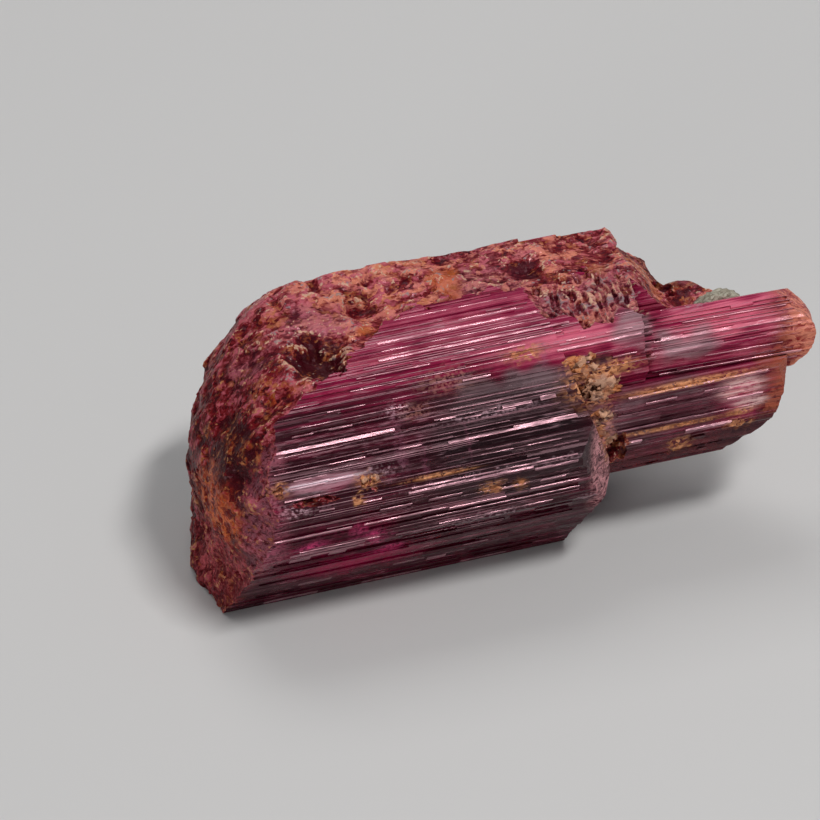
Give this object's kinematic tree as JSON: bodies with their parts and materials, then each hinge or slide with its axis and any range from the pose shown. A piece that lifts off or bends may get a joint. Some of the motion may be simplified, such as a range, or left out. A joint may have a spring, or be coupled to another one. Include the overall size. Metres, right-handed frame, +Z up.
{
  "type": "tourmaline crystal",
  "caption": "Rough pink tourmaline specimen: parallel striated prisms grown together, broken and corroded at one end, lying on a flat underside.",
  "frame": {"origin": "centre of the bounding box's bottom, on the plane the crystal rests on", "axes": "+X along the prisms towards the slender one's tip, -Y the crystal's front, +Z up"},
  "size_m": [0.0352, 0.016, 0.0142],
  "materials": {
    "crystal": "striated, vitreous, part see-through, with ochre stains on its broken surfaces"
  },
  "bodies": {
    "root": {"tourmaline_crystal": "crystal"}
  },
  "joints": []
}
